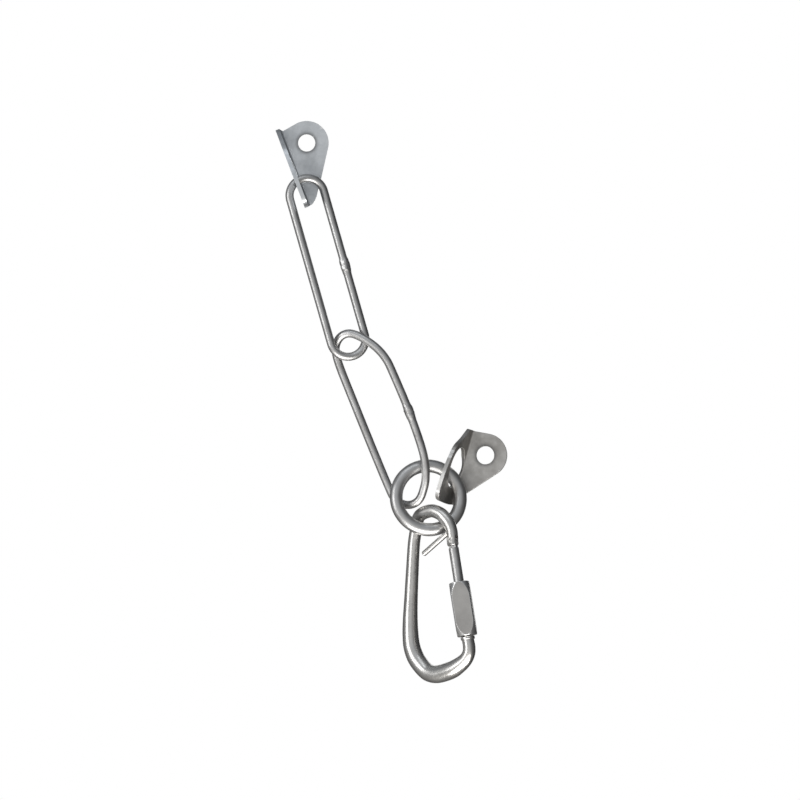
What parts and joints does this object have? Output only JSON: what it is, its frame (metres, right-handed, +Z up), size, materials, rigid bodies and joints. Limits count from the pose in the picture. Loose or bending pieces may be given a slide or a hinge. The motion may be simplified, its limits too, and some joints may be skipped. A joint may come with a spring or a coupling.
{
  "type": "chain anchor with eye hangers and latched snap hook",
  "caption": "Steel chain anchor: bent bolt hangers with eyes, long wire links and a welded ring that carries a pear-shaped snap hook with hinged gate and screw sleeve.",
  "frame": {"origin": "axis of the upper bolt hole where the plate meets the wall", "axes": "+Z up the wall, +Y into the wall, the chain stands in front at -Y and leans towards +X as it goes down"},
  "size_m": [0.1688, 0.0538, 0.409],
  "materials": {
    "hanger_steel": "tumbled satin, slightly bluish",
    "hanger_steel_warm": "tumbled satin, slightly warm",
    "wire_steel": "tumbled semi-gloss wire",
    "forged_steel": "polished forging",
    "milled_steel": "matt milled flats",
    "spring_steel": "drawn spring wire"
  },
  "bodies": {
    "hanger_top": {"upper_hanger": "hanger_steel"},
    "link_top": {"upper_link": "wire_steel"},
    "link_bottom": {"lower_link": "wire_steel"},
    "ring_body": {"ring": "wire_steel"},
    "hanger_bottom": {"lower_hanger": "hanger_steel_warm"},
    "hook": {"hook_body": "forged_steel", "captive_bar": "forged_steel", "gate_pivot_pin": "forged_steel", "gate_spring": "spring_steel", "spring_plunger": "spring_steel"},
    "gate_arm": {"gate": "wire_steel"},
    "sleeve": {"screw_sleeve": "milled_steel"}
  },
  "joints": [
    {"name": "upper_link_swing", "type": "hinge", "parent": "hanger_top", "child": "link_top", "pos_m": [-0.0084, -0.0177, -0.0268], "axis": [0.9349, 0, 0.355], "range_deg": [-42, 4]},
    {"name": "lower_link_swing", "type": "hinge", "parent": "link_top", "child": "link_bottom", "pos_m": [0.0327, -0.0178, -0.1492], "axis": [0.8629, -0.0602, 0.5017], "range_deg": [-14, 14]},
    {"name": "ring_swing", "type": "hinge", "parent": "link_bottom", "child": "ring_body", "pos_m": [0.076, -0.0238, -0.2473], "axis": [0.602, -0.03, 0.798], "range_deg": [-16, 24]},
    {"name": "hook_swing", "type": "hinge", "parent": "ring_body", "child": "hook", "pos_m": [0.0916, -0.0276, -0.279], "axis": [0.9596, -0.2799, 0.03], "range_deg": [-4, 24]},
    {"name": "lower_hanger_swing", "type": "hinge", "parent": "ring_body", "child": "hanger_bottom", "pos_m": [0.1061, -0.0184, -0.2439], "axis": [0.6401, -0.057, -0.7662], "range_deg": [-10, 50]},
    {"name": "gate_hinge", "type": "hinge", "parent": "hook", "child": "gate_arm", "pos_m": [0.10608, -0.03856, -0.2896], "axis": [0.6, 0.8, 0], "range_deg": [0, 25], "stiffness_Nm_per_rad": 0.05, "springref_deg": -22.92},
    {"name": "sleeve_slide", "type": "slide", "parent": "gate_arm", "child": "sleeve", "axis": [-0.154, 0.1155, 0.9813], "range_m": [0, 0.009]}
  ]
}
